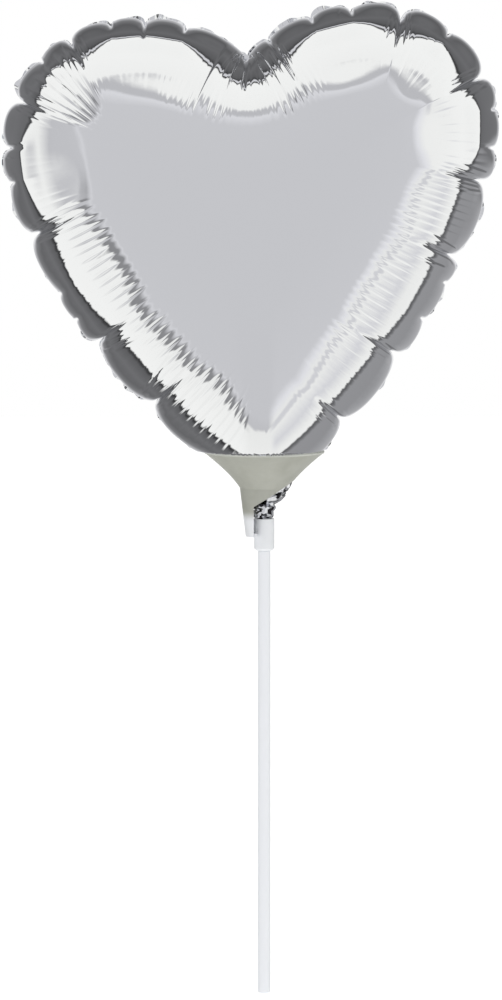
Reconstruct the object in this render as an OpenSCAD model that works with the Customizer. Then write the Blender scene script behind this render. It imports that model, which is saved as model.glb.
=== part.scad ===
// Air-filled heart-shaped foil balloon on a cup and stick.
// Millimetres, +Z up along the stick, +X to the right of the heart's front, -Y out of its front.
// The origin is the centre of the stick's bottom end.

/* [Stick] */
// Outside diameter of the stick
stick_d = 4.5; // [4:0.1:5.2]
// Bore of the hollow stick
stick_bore_d = 3.0; // [2:0.1:3.2]
// Full-diameter length of the stick, from its bottom end to the foot of the socket
stick_shaft = 159.5; // [120:0.5:260]
// Amount by which the stick's top end is drawn down in diameter to enter the socket
stick_neck_step = 0.5; // [0.4:0.05:0.6]

/* [Cup] */
// Depth to which the stick enters the socket
socket_grip = 10; // [8:0.5:12]
// Outside diameter of the socket
socket_d = 7.3; // [6.8:0.1:8]
// Outside diameter of the cup's bell at its rim, inside its bead
rim_d = 42.4; // [40:0.2:46]
// Outside diameter of the throat under the bell
throat_d = 17.4; // [16.8:0.1:18]
// Wall of the moulding
cup_wall = 0.9; // [0.7:0.1:1.1]
// Height of the throat above the socket's foot
throat_h = 22.4; // [22:0.1:23]
// Height of the bell above the throat
bell_h = 12.5; // [12:0.1:13.5]

/* [Heart] */
// Height of the heart's tip above the socket's foot
tip_h = 24.4; // [24:0.1:25]
// Half of the heart's greatest width
heart_half_w = 89.5; // [80:0.5:96]
// Height of the widest place above the tip
widest_h = 122.7; // [115:0.1:130]
// Height of the lobes' tops above the tip
lobe_h = 169; // [160:0.1:175]
// Distance of each lobe's top from the middle line
lobe_x = 43; // [38:0.5:47]
// Height of the notch above the tip
notch_h = 152.7; // [146:0.1:156]
// Lean of the heart in the cup, towards its left lobe, in degrees
lean = 2.75; // [0:0.25:4]
// Thickness of the blown-up heart at its middle, over both panels
heart_depth = 72; // [60:1:80]

/* [Film] */
// Thickness that the film is drawn with
film = 0.15; // [0.12:0.01:0.3]
// Width of the flat heat-sealed flange round the rim
flange_w = 2.6; // [2:0.1:3.5]
// Depth of the scallops between the puckers of the rim
scallop = 2; // [0:0.1:3]
// Width of the valve films in the neck
valve_w = 8; // [7:0.5:10]
// Length of the valve films
valve_l = 38; // [30:1:45]

/* [Hidden] */
$fn = 64;

// Stick and socket
fit_gap = 0.05;
neck_r = stick_d / 2 - stick_neck_step / 2;
neck_chamfer = 0.5;
end_round = 0.3;
shoulder_gap = 0.1;
foot_z = stick_shaft + shoulder_gap;
socket_bore_r = neck_r + fit_gap;
ledge_t = 1.4;
ledge_bore_r = 1.6;
socket_l = socket_grip + ledge_t;
socket_chamfer = 0.8;

// Cup
throat_z = foot_z + throat_h;
gutter_foot_z = foot_z + 5.1;
gutter_foot_r = 6.6;
floor_t = 1.3;
bead_r = 0.57;
bell_steps = 10;
bell_shoulder = [12, 5.2];
window_x = -3.7;
window_foot_h = 16.1;
window_slope = 0.63;
window_reach = 14;

// Heart outline: one half as three Bezier stretches, from the notch over the lobe and down to the tip
tip_z = foot_z + tip_h;
heart_centre_h = 102;
notch_angle = 42;
notch_reach = 23;
lobe_in = 7;
lobe_out = 25;
widest_up = 25;
widest_down = 44;
tip_angle = 62;
tip_reach = 20;
stretch_puckers = [2, 4, 7];
pucker_steps = 4;

// Swelling of the panels: fullness over the face and over the narrow tip
face_power = 2.6;
face_edge = 0.5;
tip_power = 1.2;
tip_edge = 0.78;
tip_focus = 10;
rings = [1, 0.975, 0.92, 0.82, 0.68, 0.5, 0.27];
groove = 0.1;

// Valve
valve_t = 0.1;
valve_gap = 0.02;
valve_foot_h = 9;

// Gathered tail, as stations of [height above the socket's foot, centre x, half width, half depth]
tail_sides = 14;
tail_stations = [
    [11.9, 0.0, 1.3, 1.3],
    [14, 0.6, 2.3, 1.9],
    [17, 1.5, 3.5, 2.7],
    [20, 2.6, 4.9, 3.5],
    [22.3, 2.8, 5.4, 3.6],
    [23, 2.2, 4.6, 2.8]
];

film_colour = [0.77, 0.78, 0.80];
tail_colour = [0.66, 0.67, 0.69];
cup_colour = [0.80, 0.83, 0.80];
stick_colour = [0.90, 0.92, 0.93];
valve_colour = [0.86, 0.88, 0.90];

function bezier(a, b, c, d, t) =
    pow(1 - t, 3) * a + 3 * pow(1 - t, 2) * t * b + 3 * (1 - t) * t * t * c + pow(t, 3) * d;
function turned(angle, reach) = reach * [cos(angle), sin(angle)];
function sum(v, n) = n == 0 ? 0 : v[n - 1] + sum(v, n - 1);

// Corner points of the half outline, as [x, height above the tip]
notch_p = [0, notch_h];
lobe_p = [lobe_x, lobe_h];
widest_p = [heart_half_w, widest_h];
tip_p = [0, 0];
half_curves = [
    [notch_p, notch_p + turned(notch_angle, notch_reach), lobe_p - [lobe_in, 0], lobe_p],
    [lobe_p, lobe_p + [lobe_out, 0], widest_p + [0, widest_up], widest_p],
    [widest_p, widest_p - [0, widest_down], tip_p + turned(90 - tip_angle, tip_reach), tip_p]
];
half_steps = sum(stretch_puckers, 3) * pucker_steps;

// Point i of the right half, counted from the notch
function right_half(i) =
    let (k = i < stretch_puckers[0] * pucker_steps ? 0
            : i < (stretch_puckers[0] + stretch_puckers[1]) * pucker_steps ? 1 : 2)
    let (first = sum(stretch_puckers, k) * pucker_steps)
    let (t = (i - first) / (stretch_puckers[k] * pucker_steps))
    let (c = half_curves[k])
    bezier(c[0], c[1], c[2], c[3], t);

// Point i of the whole outline: down the right half, and back up the left half as its mirror image
outline_n = 2 * half_steps;
function smooth_point(i) =
    i <= half_steps ? right_half(i)
    : let (p = right_half(outline_n - i)) [-p[0], p[1]];

heart_centre = [0, heart_centre_h];
function swell(i) = pow(abs(sin(180 * i / pucker_steps)), 0.8);
function grown(p, by) = let (v = p - heart_centre) p + by * v / norm(v);
function rim_point(i) = grown(smooth_point(i), -flange_w - scallop * (1 - swell(i)));
function flange_point(i) = grown(smooth_point(i), -scallop * (1 - swell(i)));

// How much of the tip's narrower swelling applies at outline point i
function tipness(i) =
    let (v = smooth_point(i) - heart_centre)
    pow(max(0, -v[1] / norm(v)), tip_focus);
function mix(a, b, w) = a + (b - a) * w;
function fullness(s, i) =
    pow(1 - pow(s, mix(face_power, tip_power, tipness(i))), mix(face_edge, tip_edge, tipness(i)))
    * (1 - groove * (1 - swell(i)) * pow(s, 4));

// Places a heart point [x, height above the tip] at a depth, with the heart's lean about its tip
function placed(p, y) =
    [p[0] * cos(lean) - p[1] * sin(lean),
     y,
     tip_z + p[0] * sin(lean) + p[1] * cos(lean)];

// One blown film panel: an outer skin, a flat flange and an inner skin one film thickness inside.
// Side -1 is the front and side 1 is the back.
module film_panel(side) {
    n = outline_n;
    half_depth = heart_depth / 2 - film;
    levels = len(rings);
    outer = [for (s = rings, i = [0 : n - 1])
        placed(heart_centre + s * (rim_point(i) - heart_centre), side * (film + half_depth * fullness(s, i)))];
    inner = [for (s = rings, i = [0 : n - 1])
        placed(heart_centre + s * (grown(rim_point(i), -film) - heart_centre),
            side * half_depth * fullness(s, i))];
    edge_out = [for (i = [0 : n - 1]) placed(flange_point(i), side * film)];
    edge_in = [for (i = [0 : n - 1]) placed(flange_point(i), 0)];
    poles = [placed(heart_centre, side * (film + half_depth)), placed(heart_centre, side * half_depth)];
    o = 0;
    f = o + levels * n;
    g = f + n;
    b = g + n;
    top = b + levels * n;
    // A strip of two triangles for each step between two loops of points
    function strip(lo, hi) = [for (i = [0 : n - 1], h = [0, 1])
        let (j = (i + 1) % n)
        h == 0 ? [lo + i, lo + j, hi + j] : [lo + i, hi + j, hi + i]];
    function fan(loop, pole) = [for (i = [0 : n - 1]) [loop + i, loop + (i + 1) % n, pole]];
    faces = [
        for (k = [0 : levels - 2]) each strip(o + k * n, o + (k + 1) * n),
        each fan(o + (levels - 1) * n, top),
        each strip(f, o),
        each strip(g, f),
        each strip(b, g),
        for (k = [0 : levels - 2]) each strip(b + (k + 1) * n, b + k * n),
        for (i = [0 : n - 1]) [b + (levels - 1) * n + (i + 1) % n, b + (levels - 1) * n + i, top + 1]
    ];
    points = concat(outer, edge_out, edge_in, inner, poles);
    polyhedron(points, side < 0 ? faces : [for (t = faces) [t[0], t[2], t[1]]], convexity = 6);
}

// Front film of the heart, with its half of the sealed flange
module front_panel() {
    color(film_colour)
        film_panel(-1);
}

// Back film of the heart, with its half of the sealed flange
module back_panel() {
    color(film_colour)
        film_panel(1);
}

// One of the two thin clear films that press together in the neck and keep the air in
module valve_film(side) {
    translate([0, 0, tip_z])
        rotate([0, -lean, 0])
            translate([0, side > 0 ? valve_gap + valve_t : -valve_gap, valve_foot_h])
                rotate([90, 0, 0])
                    linear_extrude(height = valve_t)
                        hull() {
                            translate([-valve_w / 3, 0])
                                square([valve_w * 2 / 3, 1]);
                            translate([-valve_w / 2, valve_l / 2])
                                square([valve_w, 1]);
                            translate([0, valve_l - valve_w / 2])
                                circle(d = valve_w);
                        }
}

module valve_front_film() {
    color(valve_colour)
        valve_film(-1);
}

module valve_back_film() {
    color(valve_colour)
        valve_film(1);
}

// Neck of the foil, pulled down through the throat, out at the window and tucked in the socket's mouth
module foil_tail() {
    n = tail_sides;
    m = len(tail_stations);
    points = [for (s = tail_stations, i = [0 : n - 1])
        [s[1] + s[2] * cos(360 * i / n), s[3] * sin(360 * i / n), foot_z + s[0]]];
    sides = [for (k = [0 : m - 2], i = [0 : n - 1])
        [k * n + i, (k + 1) * n + i, (k + 1) * n + (i + 1) % n, k * n + (i + 1) % n]];
    caps = [[for (i = [0 : n - 1]) i], [for (i = [n - 1 : -1 : 0]) (m - 1) * n + i]];
    color(tail_colour)
        polyhedron(points, concat(sides, caps), convexity = 4);
}

// Outside of the bell as a curve from the throat (t = 0) to the rim (t = 1), as [radius, height]
function bell(t) =
    let (a = [throat_d / 2, 0], c = [rim_d / 2, bell_h])
    (1 - t) * (1 - t) * a + 2 * (1 - t) * t * bell_shoulder + t * t * c;
function bell_inner(t) =
    let (d = bell(min(1, t + 0.01)) - bell(max(0, t - 0.01)))
    bell(t) + cup_wall * [-d[1], d[0]] / norm(d);

// Bell and gutter as one turned wall
module cup_shell() {
    outside = [for (k = [0 : bell_steps]) bell(k / bell_steps)];
    inside = [for (k = [bell_steps : -1 : 0]) bell_inner(k / bell_steps)];
    gutter_drop = gutter_foot_z - throat_z;
    profile = concat(
        [[gutter_foot_r, gutter_drop]],
        outside,
        inside,
        [[gutter_foot_r - cup_wall, gutter_drop]]
    );
    translate([0, 0, throat_z])
        rotate_extrude()
            polygon(profile);
}

// Rounded bead along the rim of the bell
module rim_bead() {
    translate([0, 0, throat_z])
        rotate_extrude()
            translate((bell(1) + bell_inner(1)) / 2)
                circle(r = bead_r, $fn = 32);
}

// Side window under the bell, cut through from front to back along a slanting edge
module window_cut() {
    reach = rim_d;
    slant_top = window_foot_h + window_slope * (window_reach - window_x);
    translate([0, reach / 2, foot_z])
        rotate([90, 0, 0])
            linear_extrude(height = reach)
                polygon([
                    [window_x, 0],
                    [window_reach, 0],
                    [window_reach, slant_top],
                    [window_x, window_foot_h]
                ]);
}

// Plate that closes the gutter's foot and ties it to the socket
module gutter_floor() {
    intersection() {
        translate([0, 0, gutter_foot_z])
            cylinder(r = gutter_foot_r - cup_wall / 2, h = floor_t);
        translate([-throat_d, -throat_d / 2, gutter_foot_z - 1])
            cube([throat_d + window_x + 1.2, throat_d, floor_t + 2]);
    }
}

// Radius of the middle of the gutter's wall, at a height above the socket's foot
function gutter_mid_r(h) =
    let (t = (h + foot_z - gutter_foot_z) / (throat_z - gutter_foot_z))
    mix(gutter_foot_r, throat_d / 2, t) - cup_wall / 2;

// Upright rib between the socket and the gutter, whose outer edge follows the middle of the gutter's wall
module gutter_rib() {
    foot_h = gutter_foot_z - foot_z;
    inner_x = -(socket_bore_r + socket_d / 2) / 2;
    translate([0, cup_wall / 2, foot_z])
        rotate([90, 0, 0])
            linear_extrude(height = cup_wall)
                polygon([
                    [-gutter_mid_r(foot_h), foot_h],
                    [inner_x, foot_h],
                    [inner_x, socket_l],
                    [-gutter_mid_r(socket_l), socket_l]
                ]);
}

// Turned socket with its bore, the ledge that stops the stick and the hole that takes the tail's end
module socket_body() {
    r = socket_d / 2;
    translate([0, 0, foot_z])
        rotate_extrude()
            polygon([
                [0, 0],
                [r - socket_chamfer, 0],
                [r, socket_chamfer],
                [r, socket_l],
                [0, socket_l]
            ]);
}

module socket_bore() {
    translate([0, 0, foot_z - 1])
        cylinder(r = socket_bore_r, h = socket_grip + 1);
    translate([0, 0, foot_z + socket_grip - 1])
        cylinder(r = ledge_bore_r, h = ledge_t + 2);
}

// Cup: bell, gutter, window and socket in one moulding
module cup() {
    color(cup_colour)
        difference() {
            union() {
                difference() {
                    cup_shell();
                    window_cut();
                }
                rim_bead();
                gutter_floor();
                gutter_rib();
                socket_body();
            }
            socket_bore();
        }
}

// Stick: a hollow tube with softened ends, its top end drawn down to enter the socket
module stick() {
    r = stick_d / 2;
    top = foot_z + socket_grip;
    color(stick_colour)
        difference() {
            rotate_extrude()
                polygon([
                    [0, 0],
                    [r - end_round, 0],
                    [r, end_round],
                    [r, stick_shaft - stick_neck_step / 2],
                    [neck_r, stick_shaft],
                    [neck_r, top - neck_chamfer],
                    [neck_r - neck_chamfer / 2, top],
                    [0, top]
                ]);
            translate([0, 0, -1])
                cylinder(d = stick_bore_d, h = top + 2);
        }
}

front_panel();
back_panel();
valve_front_film();
valve_back_film();
foil_tail();
cup();
stick();
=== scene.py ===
# %% [markdown]
# # A heart-shaped foil balloon on a cup and stick
# Two sheets of metallised film are heat-sealed round a heart outline and blown up with air. The gathered
# neck is pulled through a small moulded cup, and the cup is pushed onto a hollow plastic stick. This
# lesson loads the engineered frame first, and then builds the looks round it: the puckered film, its
# sealed flange, the crumpled tail, and a finish for every piece.

# %% Load the frame
import math

import bpy
import numpy as np
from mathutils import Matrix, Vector


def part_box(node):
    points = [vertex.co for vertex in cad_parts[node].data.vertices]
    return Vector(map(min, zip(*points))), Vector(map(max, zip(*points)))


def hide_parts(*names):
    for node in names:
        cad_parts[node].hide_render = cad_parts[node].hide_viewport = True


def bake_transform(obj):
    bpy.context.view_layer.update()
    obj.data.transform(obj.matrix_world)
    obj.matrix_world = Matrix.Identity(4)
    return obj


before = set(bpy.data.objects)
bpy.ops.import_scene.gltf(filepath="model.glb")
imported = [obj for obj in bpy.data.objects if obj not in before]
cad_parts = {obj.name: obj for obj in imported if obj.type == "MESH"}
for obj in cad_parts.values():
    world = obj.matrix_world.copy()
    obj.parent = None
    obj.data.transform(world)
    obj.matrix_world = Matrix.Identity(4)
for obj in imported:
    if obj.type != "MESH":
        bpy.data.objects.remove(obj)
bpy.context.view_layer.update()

MM = 0.001

# %% [markdown]
# ## Camera
# The camera comes first. It stands far back with a long lens, straight in front of the heart and a few
# degrees above it, so that the front edge of the cup's round rim dips a little below its ends. The lens
# is worked out from the height of the object, which fills the frame from top to bottom.

# %% Camera
# Metres, except for the angle and the sensor's width, which is in millimetres as on a real camera.
CAMERA_DISTANCE, CLIP_END = 1.6, 20
CAMERA_ELEVATION = math.radians(5)
VIEW_HEIGHT = 0.356
VIEW_CENTRE = Vector((-0.0047, 0, 0.1776))
SENSOR = 36

camera_data = bpy.data.cameras.new("camera")
camera = bpy.data.objects.new("camera", camera_data)
bpy.context.scene.collection.objects.link(camera)
back = Vector((0, -math.cos(CAMERA_ELEVATION), math.sin(CAMERA_ELEVATION)))
camera.location = VIEW_CENTRE + back * CAMERA_DISTANCE
camera.rotation_euler = (-back).to_track_quat("-Z", "Y").to_euler()
camera_data.sensor_width = SENSOR
camera_data.lens = SENSOR * CAMERA_DISTANCE / VIEW_HEIGHT
camera_data.clip_end = CLIP_END
bpy.context.scene.camera = camera
print("lens in mm:", round(camera_data.lens, 1))

# %% [markdown]
# ## The outline of the blown-up heart
# A heart has a notch, two lobes, two long sides and a tip. Four points and the slopes between them are
# enough for half of it, because a cubic Bezier curve joins each pair of points. The other half is its
# mirror image. Distances are in millimetres: u runs to the right and v runs up from the tip.

# %% Outline
NOTCH, LOBE_TOP, WIDEST, TIP = (0, 154.3), (42.9, 169.8), (88.1, 125.0), (0, 0)
NOTCH_SLOPE, NOTCH_REACH = 42.4, 23.4
LOBE_IN, LOBE_OUT = 6.8, 24.7
WIDEST_UP, WIDEST_DOWN = 25.2, 44.8
TIP_SLOPE, TIP_REACH = 8.2, 26.6
CURVE_STEPS, FINE = 300, 2400


def polar(degrees, reach):
    """A vector of this length, at this angle from straight right."""
    a = math.radians(degrees)
    return np.array([math.cos(a), math.sin(a)]) * reach


def bezier(a, b, c, d, steps):
    """Points on a cubic Bezier curve, without its last one."""
    t = np.linspace(0, 1, steps, endpoint=False)[:, None]
    return (1 - t) ** 3 * a + 3 * (1 - t) ** 2 * t * b + 3 * (1 - t) * t ** 2 * c + t ** 3 * d


def heart_outline(count):
    """The closed outline, clockwise from the notch, as evenly spaced points, and its whole length."""
    notch, lobe, widest, tip = (np.array(p, float) for p in (NOTCH, LOBE_TOP, WIDEST, TIP))
    half = np.vstack([
        bezier(notch, notch + polar(NOTCH_SLOPE, NOTCH_REACH), lobe - [LOBE_IN, 0], lobe, CURVE_STEPS),
        bezier(lobe, lobe + [LOBE_OUT, 0], widest + [0, WIDEST_UP], widest, CURVE_STEPS),
        bezier(widest, widest - [0, WIDEST_DOWN], tip + polar(TIP_SLOPE, TIP_REACH), tip, 2 * CURVE_STEPS),
        [tip],
    ])
    loop = np.vstack([half, (half[:-1] * [-1, 1])[::-1]])
    along = np.r_[0, np.cumsum(np.linalg.norm(np.diff(loop, axis=0), axis=1))]
    at = np.linspace(0, along[-1], count, endpoint=False)
    return np.c_[np.interp(at, along, loop[:, 0]), np.interp(at, along, loop[:, 1])], along[-1]


fine_outline, perimeter = heart_outline(FINE)
print("rim length in mm:", round(perimeter, 1))

# %% [markdown]
# ## How far a point is from the rim
# A blown foil balloon swells in the same way everywhere along its rim, because film bends but can't
# stretch: it rises steeply from the seam, rolls over a shoulder and is nearly flat in the middle. So the
# height of the film depends on the distance from the rim. The plain distance has sharp ridges where two
# sides are equally near, and film doesn't, so this lesson uses a smooth distance: every bit of rim adds a
# little, and near bits add the most. It is then rescaled so that it is exact for a round balloon of the
# heart's own fullness.

# %% Smooth distance from the rim
FULLNESS_R = 62.0
POWER = 6
NEAR_POINTS, ROUND_POINTS, ROUND_DEPTHS = 570, 2000, 200
LEAST_SQUARE, PROBE, LEAST_RATE = 0.04, 0.2, 0.3
near_rim, _ = heart_outline(NEAR_POINTS)
rim_step = perimeter / len(near_rim)
# What an endless straight rim adds up to at a point 1 mm from it.
straight_rim = math.sqrt(math.pi) * math.gamma((POWER - 1) / 2) / math.gamma(POWER / 2)


def raw_distance(points):
    """The smooth distance of points from the rim, and its gradient."""
    gap = points[:, None, :] - near_rim[None]
    square = np.maximum((gap ** 2).sum(2), LEAST_SQUARE)
    pull = rim_step * square ** (-POWER / 2)
    total = pull.sum(1) / straight_rim
    distance = total ** (-1 / (POWER - 1))
    slope = POWER / (POWER - 1) * distance / total
    gradient = slope[:, None] * ((pull / square)[:, :, None] * gap).sum(1) / straight_rim
    return distance, gradient


def round_balloon_table():
    """Smooth distance against true distance, for a round balloon of the radius FULLNESS_R."""
    angle = np.linspace(0, 2 * math.pi, ROUND_POINTS, endpoint=False)
    depth = np.linspace(0.5, FULLNESS_R, ROUND_DEPTHS)
    x = FULLNESS_R - depth
    square = (x[:, None] - FULLNESS_R * np.cos(angle)) ** 2 + (FULLNESS_R * np.sin(angle)) ** 2
    total = (square ** (-POWER / 2)).sum(1) * (2 * math.pi * FULLNESS_R / ROUND_POINTS) / straight_rim
    return np.r_[0, total ** (-1 / (POWER - 1))], np.r_[0, depth]


table_smooth, table_true = round_balloon_table()


def distance_inside(points):
    """Distance from the rim, and its gradient, for points inside the heart."""
    smooth, gradient = raw_distance(points)
    true = np.interp(smooth, table_smooth, table_true)
    rate = (np.interp(smooth + PROBE, table_smooth, table_true) - true) / PROBE
    return true, gradient * np.maximum(rate, LEAST_RATE)[:, None]


MIDDLE = np.array([0.0, 96.0])
to_middle = float(distance_inside(MIDDLE[None])[0][0])
print("from the rim to the middle of the heart in mm:", round(to_middle, 1))

# %% [markdown]
# ## The section of blown film
# Film that can't stretch takes a known shape when a round envelope is blown up: at r from the middle its
# slope has a sine of (r / R) squared. It is upright at the seam and level in the middle. This table
# gives, for a distance along the film from the seam, how far in it has come and how high it has risen.

# %% Section table
SECTION_STEPS = 6000
# The steps are finest at the seam, where the film is steepest.
grade = np.linspace(0, 1, SECTION_STEPS)
ratio = 1 - grade ** 2
root = np.sqrt(np.maximum(1 - ratio ** 4, 1e-12))
step = 2 * grade * np.gradient(grade)
section_along = FULLNESS_R * np.cumsum(step / root)
section_rise = FULLNESS_R * np.cumsum(step * ratio ** 2 / root)
section_inward = FULLNESS_R * (1 - ratio)
section_along -= section_along[0]
section_rise -= section_rise[0]
print("film from seam to middle in mm:", round(section_along[-1], 1), "rise:", round(section_rise[-1], 1))

# %% [markdown]
# ## Columns and rows of the film
# The mesh follows the film as it is gathered: columns run straight in from the rim and rows run round it.
# Each column climbs the smooth distance step by step, so it always crosses the rows squarely, and a
# crease can run along it. A plain grid would be simpler, but creases would cross it at all angles and
# come out jagged. Beyond the shoulder the rows shrink towards the middle, where the film is flat.

# %% Columns
COLUMNS = 1400
NOTCH_CROWD, NOTCH_ZONE = 9.0, 2.5
RIM_PROBE = 0.6


def column_places():
    """Places of the columns along the rim in mm, closer together round the notch, where they fan out."""
    at = np.linspace(0, perimeter, 8001)
    from_notch = np.minimum(at, perimeter - at)
    crowd = np.cumsum(1 + NOTCH_CROWD * np.exp(-(from_notch / NOTCH_ZONE) ** 2))
    crowd = (crowd - crowd[0]) / (crowd[-1] - crowd[0])
    return np.interp((np.arange(COLUMNS) + 0.5) / COLUMNS, crowd, at)


places = column_places()
fine_along = np.linspace(0, perimeter, FINE + 1)
closed = np.vstack([fine_outline, fine_outline[:1]])


def on_rim(at):
    """Points on the rim at these distances from the notch."""
    at = np.mod(at, perimeter)
    return np.c_[np.interp(at, fine_along, closed[:, 0]), np.interp(at, fine_along, closed[:, 1])]


rim = on_rim(places)
run = on_rim(places + RIM_PROBE) - on_rim(places - RIM_PROBE)
outward = np.c_[-run[:, 1], run[:, 0]]
outward /= np.linalg.norm(outward, axis=1)[:, None]
if ((rim - MIDDLE) * outward).sum() < 0:
    outward = -outward
print("columns:", COLUMNS, "from", round(float(np.diff(places).min()), 2), "mm apart")

# %% Climbing columns
BAND_ROWS, BAND_ALONG = 62, 55.0
START, LONGEST_MOVE = 2.0, 3
band_along = np.linspace(0, BAND_ALONG, BAND_ROWS)
band_inward = np.interp(band_along, section_along, section_inward)


def climb():
    """Plan positions of every column at every row of the band, and the outward direction there."""
    plan, out = [], []
    here = rim - outward * START
    for inward in band_inward:
        if inward <= START:
            plan.append(rim - outward * inward)
            out.append(outward)
            continue
        # Two of Newton's steps land each column close enough to its row.
        for _ in range(2):
            value, gradient = distance_inside(here)
            size = (gradient ** 2).sum(1)
            move = gradient * ((inward - value) / size)[:, None]
            far = np.linalg.norm(move, axis=1)
            here = here + move * np.minimum(1, LONGEST_MOVE / np.maximum(far, 1e-9))[:, None]
        plan.append(here)
        out.append(-gradient / np.sqrt(size)[:, None])
    return np.array(plan), np.array(out)


plan, out_plan = climb()
print("rows over the shoulder:", len(plan))

# %% Rows over the face
FACE_ROWS = 8
last = plan[-1]
for k in range(1, FACE_ROWS):
    shrink = 1 - k / FACE_ROWS
    plan = np.concatenate([plan, (MIDDLE + (last - MIDDLE) * shrink)[None]])
    out_plan = np.concatenate([out_plan, out_plan[-1:]])
rows = len(plan)
face_value = distance_inside(plan[BAND_ROWS:].reshape(-1, 2))[0].reshape(FACE_ROWS - 1, COLUMNS)
inward_at = np.concatenate([np.repeat(band_inward[:, None], COLUMNS, 1), face_value])
along_at = np.interp(inward_at, section_inward, section_along)
rise_at = np.interp(inward_at, section_inward, section_rise)
lean_at = np.clip(1 - inward_at / FULLNESS_R, 0, 1) ** 2
middle_rise = float(np.interp(to_middle, section_inward, section_rise))
print("rows in all:", rows, "half thickness in mm:", round(middle_rise, 1))

# %% [markdown]
# ## Puckers
# The seam is as long as it was when flat, but it now goes round a smaller heart. The spare length folds
# up: about thirty short folds pull the rim in, and the film between them swells out as lobes. Each fold
# is a place round the heart, in degrees clockwise from straight up, and the length of its crease in from
# the rim in mm. These places are chosen so that long and short lobes follow each other as on the real
# heart.

# %% Puckers
CREASES = [
    (0, 24), (7.2, 27), (20, 4), (30, 5), (42, 17), (54, 5), (67, 18), (75, 3), (84, 6), (92, 21),
    (112, 22), (119, 3), (130, 4), (141, 22), (160, 18), (176, 3), (192, 4), (208.5, 22), (229, 21),
    (237, 2), (245, 2), (261.5, 25), (275, 4), (283, 9), (294.5, 16), (305, 3), (313, 15), (323, 4),
    (331, 8), (341.5, 4),
]
COMPASS = np.array([0.0, 106.0])


def place_of(degrees):
    """Distance along the rim, in mm from the notch, of a direction from the compass point in the heart."""
    d = fine_outline - COMPASS
    angle = np.degrees(np.arctan2(d[:, 0], d[:, 1])) % 360
    # The first points can lie a hair to the left of straight up, which would read as nearly a full turn.
    angle = np.where((angle > 350) & (np.arange(FINE) < FINE / 2), angle - 360, angle)
    return float(np.interp(degrees, angle, fine_along[:-1]))


pucker_at = np.array([place_of(a) for a, _ in CREASES])
crease_length = np.array([c for _, c in CREASES], float)
print("puckers:", len(pucker_at), "lobe lengths in mm:", np.round(np.diff(pucker_at)[:6], 1), "...")

# %% [markdown]
# ## Wrinkle noise
# Between the big folds the film is covered with fine wrinkles that run in from the rim, like the gathers
# of a curtain. They come from smooth random values on a grid that is stretched along the wrinkle. The
# grid closes on itself round the rim, and its numbers come from a fixed seed, so every run gives the same
# balloon.

# %% Noise helper
NOISE_ROWS = 64


def wrinkle_noise(seed, wide, long, at, along):
    """Smooth noise from -1 to 1. Its cells are wide mm round the rim and long mm in from it."""
    cells = max(4, round(perimeter / wide))
    grid = np.random.default_rng(seed).uniform(-1, 1, (cells, NOISE_ROWS))
    x = at / perimeter * cells
    y = along / long + 1
    i, j = np.floor(x).astype(int), np.floor(y).astype(int)
    fx, fy = x - i, y - j
    fx, fy = fx * fx * (3 - 2 * fx), fy * fy * (3 - 2 * fy)
    pick = lambda a, b: grid[a % cells, b % NOISE_ROWS]
    low = pick(i, j) * (1 - fx) + pick(i + 1, j) * fx
    high = pick(i, j + 1) * (1 - fx) + pick(i + 1, j + 1) * fx
    return low * (1 - fy) + high * fy


sample = wrinkle_noise(1, 5, 10, places, np.zeros(COLUMNS))
print("a sample of the noise runs from", round(float(sample.min()), 2), "to", round(float(sample.max()), 2))

# %% Easing and gaps


def ease(x, low, high):
    """0 below low, 1 above high and smooth in between. It runs down if high is the smaller."""
    t = np.clip((x - low) / (high - low), 0, 1)
    return t * t * (3 - 2 * t)


def gap_round(at, centre):
    """Signed distance along the closed rim from a place."""
    return (at - centre + perimeter / 2) % perimeter - perimeter / 2


print("ease halfway:", float(ease(0.5, 0, 1)))

# %% [markdown]
# ## Relief of the film
# The relief is a height to add along the film's own normal. It has four parts. Valleys run in from the
# puckers and leave rounded lobes between them, like the segments of a sausage. Between two creases the
# film is pulled straight, so each lobe is a little flatter than the heart's own curve. Bundles of sharp
# creases run in from each pucker. Last comes a comb of fine pleats 2 to 3 mm apart, which is strong where
# much film was gathered and faint elsewhere. A cloth simulation could blow a flat heart up, but film that
# can't stretch crumples at random there. Written as heights, each fold lies where it should. Front and
# back share the seam, but each has its own creases and wrinkles.

# %% Valleys between lobes
VALLEY_SHARE, VALLEY_LEAST, VALLEY_MOST = 0.19, 1.4, 3.4
VALLEY_WIDE, VALLEY_NARROW = 0.07, 0.6
ARC_SHARE, GAP_SHARE = 0.62, 0.5
TUCK_DEPTH, TUCK_WIDTH = 2.4, 0.45
SLACK_LEAST, SLACK_FROM, SLACK_TO = 0.2, 3, 20
ARC_POWER, ARC_ENDS, ARC_FULL = 2.4, 21, 5


def column_spread():
    """How many times further apart neighbouring columns are in from the rim than at the rim."""
    apart = np.linalg.norm(np.roll(plan, -1, 1) - np.roll(plan, 1, 1), axis=2)
    return np.clip(apart / np.maximum(apart[:1], 1e-6), 0, 9)


spread = column_spread()
lobe_after = (np.roll(pucker_at, -1) - pucker_at) % perimeter
lobe_before = np.roll(lobe_after, 1)
valley_depth = np.clip(VALLEY_SHARE * (lobe_after + lobe_before) / 2, VALLEY_LEAST, VALLEY_MOST)
# Long creases pull harder, and by the notch the two lobes press the film back out.
valley_depth *= np.clip(0.45 + crease_length / 22, 0.5, 1.15)
from_notch = np.minimum(pucker_at, perimeter - pucker_at)
slack = SLACK_LEAST + (1 - SLACK_LEAST) * ease(from_notch, SLACK_FROM, SLACK_TO)
valley_depth *= slack


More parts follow.
